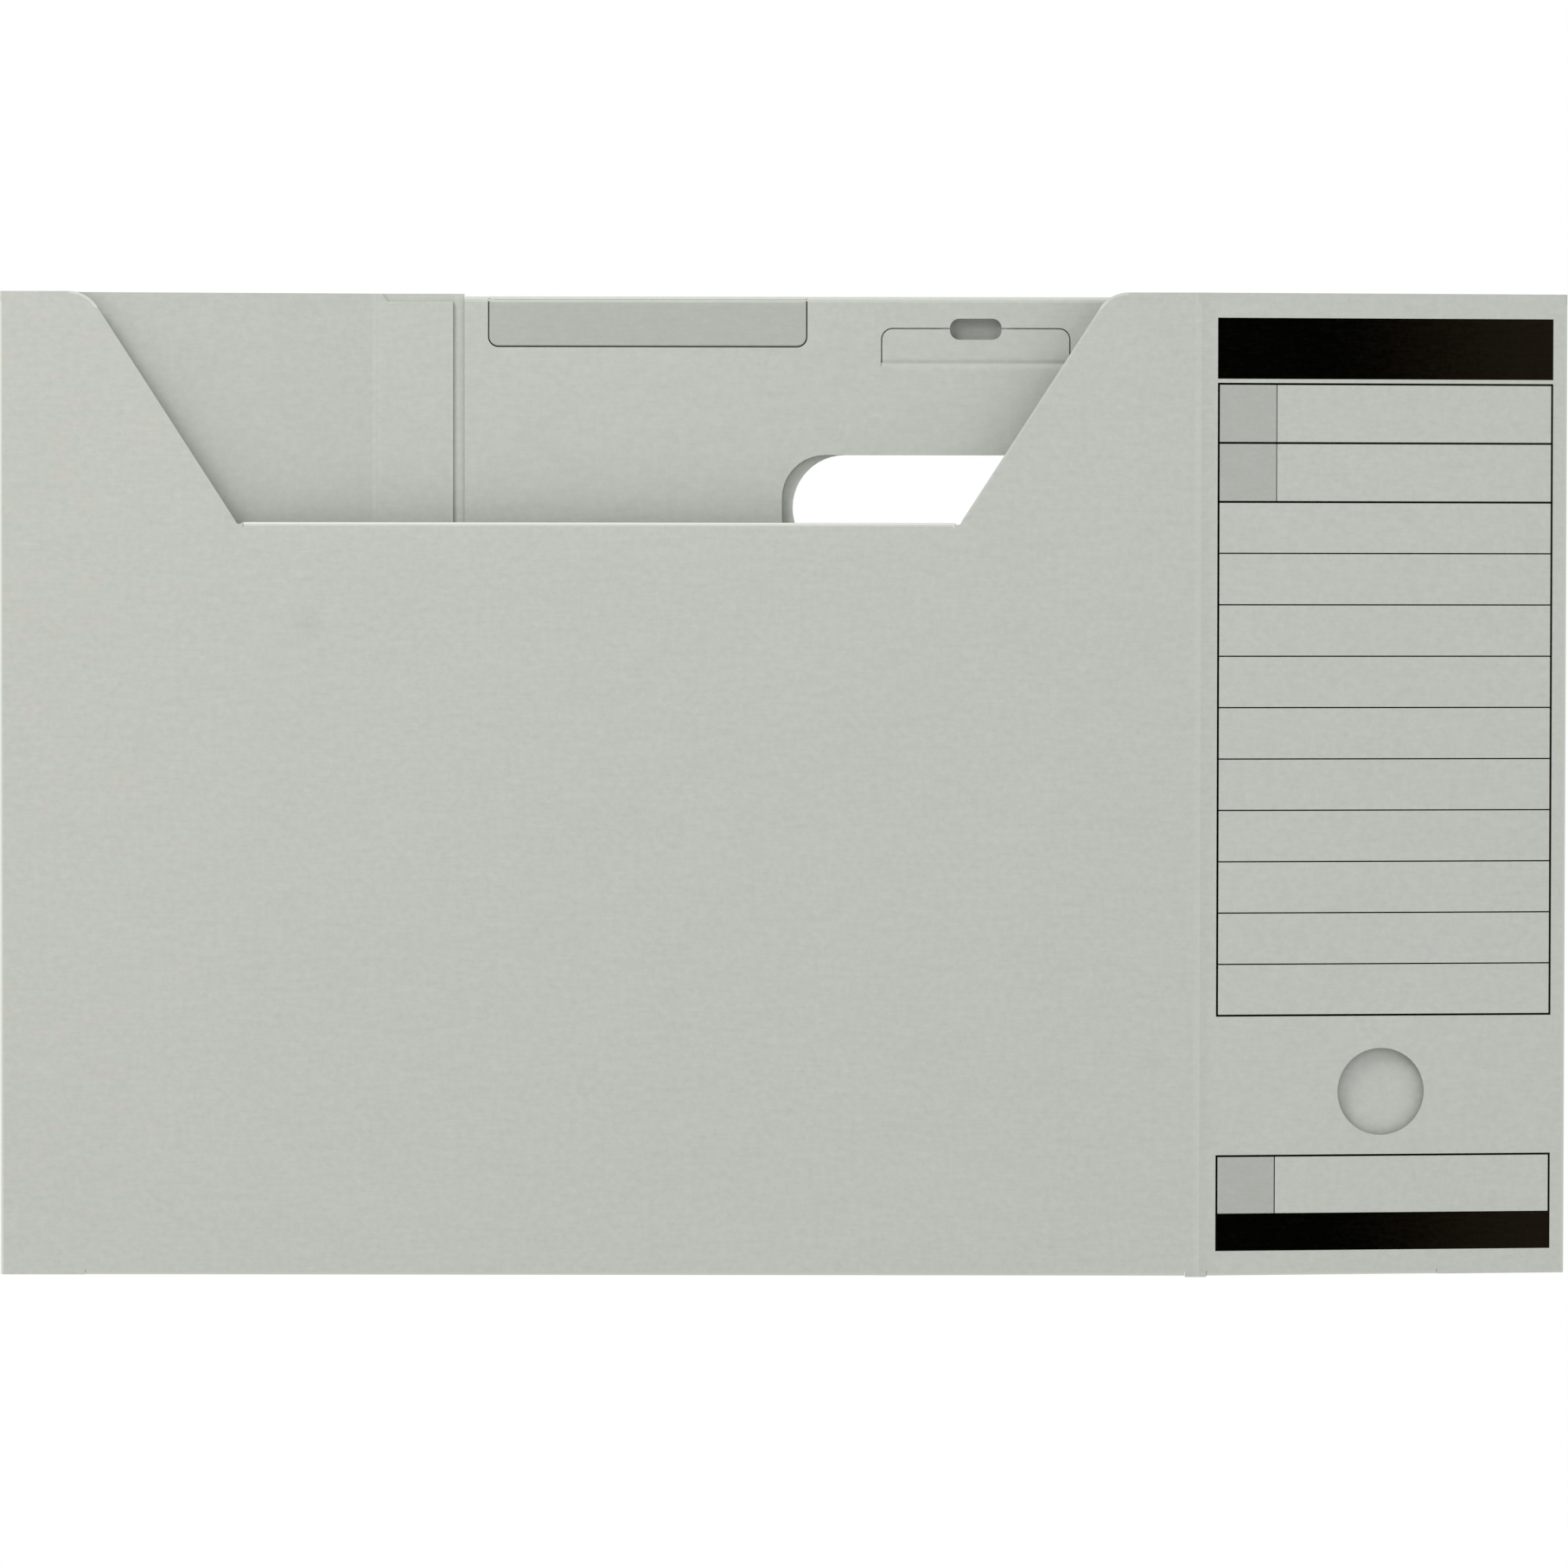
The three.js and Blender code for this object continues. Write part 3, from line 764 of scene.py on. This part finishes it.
def field_shell(patch, lift, ink):
    """The film over the patch, which follows the lid and the fold: where s is above 0 the place is
    flat on the lid, which falls by LID_FALL a millimetre, and below 0 it turns round the fold's
    radius by the angle s / radius."""
    x, s = patch
    rows, columns = s.shape
    layers = []
    for height in (lift, lift + ink):
        angle = np.clip(-s / FOLD_RADIUS, 0, np.pi / 2)
        y = LID_FOLD - FOLD_RADIUS - np.maximum(s, 0) + (FOLD_RADIUS + height) * np.sin(angle)
        z = LID_TOP - np.maximum(s, 0) * LID_FALL - FOLD_RADIUS + (FOLD_RADIUS + height) * np.cos(angle)
        layers.append(np.stack([x, y, z], axis=-1).reshape(-1, 3))
    vertices = np.concatenate(layers) * MM
    index = np.arange(rows * columns).reshape(rows, columns)
    quads = np.stack([index[:-1, :-1], index[1:, :-1], index[1:, 1:], index[:-1, 1:]], -1).reshape(-1, 4)
    border = np.concatenate([index[:, 0], index[-1, 1:], index[-2::-1, -1], index[0, -2:0:-1]])
    following = np.roll(border, -1)
    size = rows * columns
    walls = np.stack([following + size, following, border, border + size], -1)
    faces = np.concatenate([quads + size, quads[:, ::-1], walls[:, ::-1]])
    return vertices, faces


class FILEBOX_OT_stage(bpy.types.Operator):
    """Set the floor, the light and the camera of the photograph."""

    bl_idname = "filebox.stage"
    bl_label = "Stage"

    def execute(self, context):
        settings = context.scene.file_box_stage
        make_floor(settings)
        make_light(context, settings)
        make_camera(context, settings)
        context.scene.view_settings.view_transform = "Standard"
        return {"FINISHED"}


def make_floor(settings):
    """A wide plain floor that the camera, and what mirrors it, sees as white."""
    half, low = 4.0, -0.0001
    mesh = bpy.data.meshes.new("floor")
    corners = [(-half, -half, low), (half, -half, low), (half, half, low), (-half, half, low)]
    mesh.from_pydata(corners, [], [(0, 1, 2, 3)])
    floor = bpy.data.objects.new("floor", mesh)
    bpy.context.scene.collection.objects.link(floor)
    graph = Graph("floor")
    seen = graph.node("ShaderNodeLightPath", {}, {}).out("Is Camera Ray")
    cover = graph.node("ShaderNodeBsdfDiffuse", {}, {"Color": colour4(settings.floor)})
    white = graph.node("ShaderNodeEmission", {}, {"Color": (1, 1, 1, 1), "Strength": 1.0})
    shader = graph.node("ShaderNodeMixShader", {}, {0: seen, 1: cover.out(), 2: white.out()})
    mesh.materials.append(graph.finish(shader))


def make_light(context, settings):
    """Even light from all round, and a large soft lamp beyond the top left corner of the box."""
    world = bpy.data.worlds.new("studio")
    context.scene.world = world
    world.use_nodes = True
    background = world.node_tree.nodes["Background"]
    background.inputs["Color"].default_value = (1, 1, 1, 1)
    background.inputs["Strength"].default_value = settings.sky
    lamp = bpy.data.lights.new("key_lamp", "AREA")
    lamp.shape = "DISK"
    lamp.size = KEY_SIZE
    lamp.energy = settings.key
    holder = bpy.data.objects.new("key_lamp", lamp)
    holder.location = KEY_PLACE
    holder.rotation_euler = (-holder.location).to_track_quat("-Z", "Y").to_euler()
    context.scene.collection.objects.link(holder)


def make_camera(context, settings):
    """A camera over the box, whose picture is as wide as the box between its two folds."""
    camera = bpy.data.cameras.new("camera")
    middle = Vector(PICTURE_MIDDLE)
    away = Vector((0.0, np.sin(settings.tilt), np.cos(settings.tilt)))
    holder = bpy.data.objects.new("camera", camera)
    holder.location = middle + away * settings.distance
    holder.rotation_euler = (-settings.tilt, 0, settings.roll)
    width = (RIGHT_FOLD - LEFT_FOLD) * MM * PICTURE_MARGIN
    camera.sensor_width = SENSOR
    camera.lens = SENSOR * settings.distance / width
    camera.clip_start = 0.01
    context.scene.collection.objects.link(holder)
    context.scene.camera = holder


class FILEBOX_PT_panel(bpy.types.Panel):
    """The steps and settings of the file box, in the 3D view's sidebar."""

    bl_label = "File Box"
    bl_space_type = "VIEW_3D"
    bl_region_type = "UI"
    bl_category = "File Box"

    def draw(self, context):
        for group in (context.scene.file_box_board, context.scene.file_box_print,
                      context.scene.file_box_stage):
            for name in group.__annotations__:
                self.layout.prop(group, name)
        for operator in OPERATORS:
            self.layout.operator(operator.bl_idname)


SETTINGS = {"file_box_board": BoardSettings, "file_box_print": PrintSettings,
            "file_box_stage": StageSettings}
OPERATORS = (FILEBOX_OT_board, FILEBOX_OT_label, FILEBOX_OT_lid_field, FILEBOX_OT_stage)


def register():
    for cls in (*SETTINGS.values(), *OPERATORS, FILEBOX_PT_panel):
        bpy.utils.register_class(cls)
    for name, cls in SETTINGS.items():
        setattr(bpy.types.Scene, name, bpy.props.PointerProperty(type=cls))


def unregister():
    for name in SETTINGS:
        delattr(bpy.types.Scene, name)
    for cls in (FILEBOX_PT_panel, *reversed(OPERATORS), *SETTINGS.values()):
        bpy.utils.unregister_class(cls)


def main():
    """Make everything in order."""
    register()
    bpy.ops.filebox.board()
    bpy.ops.filebox.label()
    bpy.ops.filebox.lid_field()
    bpy.ops.filebox.stage()


if __name__ == "__main__":
    main()
